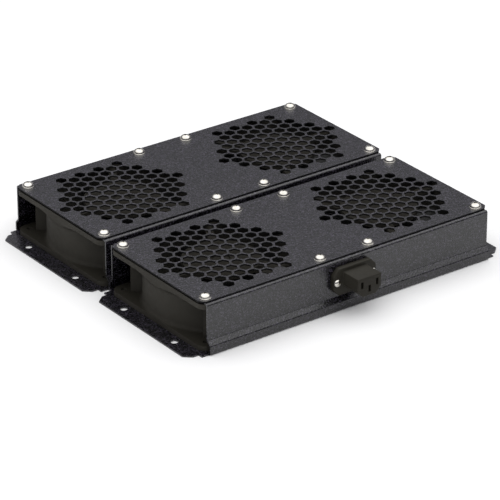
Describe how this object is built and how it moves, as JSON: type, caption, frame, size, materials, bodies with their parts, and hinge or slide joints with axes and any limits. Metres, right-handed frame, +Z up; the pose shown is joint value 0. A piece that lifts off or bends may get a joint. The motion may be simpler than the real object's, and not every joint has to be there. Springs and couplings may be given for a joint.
{
  "type": "rack fan tray",
  "caption": "Low rack fan tray: two folded steel channels with honeycomb covers over square axial fans, drilled end flanges and a power connector on the front wall.",
  "frame": {"origin": "centre of the mounting-hole pattern, on the underside of the floors", "axes": "+X along the tray's long side, +Y from the connector wall to the back, +Z up through the perforated covers"},
  "size_m": [0.2984, 0.2786, 0.0453],
  "materials": {
    "powder_coated_steel": "fine-textured dark grey powder coat",
    "plated_screw": "bright nickel plate",
    "fan_casting": "die-cast, painted satin black",
    "rotor_plastic": "moulded black plastic",
    "shaft_steel": "ground steel",
    "bearing_bronze": "sintered bronze",
    "core_steel": "laminated core",
    "connector_plastic": "moulded dark grey plastic",
    "contact_brass": "bright brass",
    "block_nylon": "natural nylon",
    "bushing_nylon": "black nylon"
  },
  "bodies": {
    "tray": {"front_chassis": "powder_coated_steel", "front_cover": "powder_coated_steel", "front_cover_screws": "plated_screw", "rear_chassis": "powder_coated_steel", "rear_cover": "powder_coated_steel", "rear_cover_screws": "plated_screw", "fan_frame_1": "fan_casting", "fan_frame_2": "fan_casting", "fan_frame_3": "fan_casting", "fan_frame_4": "fan_casting", "fan_bearing_1": "bearing_bronze", "fan_bearing_2": "bearing_bronze", "fan_bearing_3": "bearing_bronze", "fan_bearing_4": "bearing_bronze", "fan_stator_1": "core_steel", "fan_stator_2": "core_steel", "fan_stator_3": "core_steel", "fan_stator_4": "core_steel", "power_connector": "connector_plastic", "connector_contacts": "contact_brass", "connector_screws": "plated_screw", "connector_nuts": "plated_screw", "terminal_block": "block_nylon", "cable_bushings": "bushing_nylon"},
    "rotor_1": {"fan_rotor_1": "rotor_plastic", "fan_shaft_1": "shaft_steel"},
    "rotor_2": {"fan_rotor_2": "rotor_plastic", "fan_shaft_2": "shaft_steel"},
    "rotor_3": {"fan_rotor_3": "rotor_plastic", "fan_shaft_3": "shaft_steel"},
    "rotor_4": {"fan_rotor_4": "rotor_plastic", "fan_shaft_4": "shaft_steel"}
  },
  "joints": [
    {"name": "rotor_1_spin", "type": "hinge", "parent": "tray", "child": "rotor_1", "pos_m": [-0.075, -0.065, 0.02], "axis": [0, 0, 1], "continuous": true},
    {"name": "rotor_2_spin", "type": "hinge", "parent": "tray", "child": "rotor_2", "pos_m": [0.075, -0.065, 0.02], "axis": [0, 0, 1], "continuous": true},
    {"name": "rotor_3_spin", "type": "hinge", "parent": "tray", "child": "rotor_3", "pos_m": [-0.075, 0.065, 0.02], "axis": [0, 0, 1], "continuous": true},
    {"name": "rotor_4_spin", "type": "hinge", "parent": "tray", "child": "rotor_4", "pos_m": [0.075, 0.065, 0.02], "axis": [0, 0, 1], "continuous": true}
  ]
}
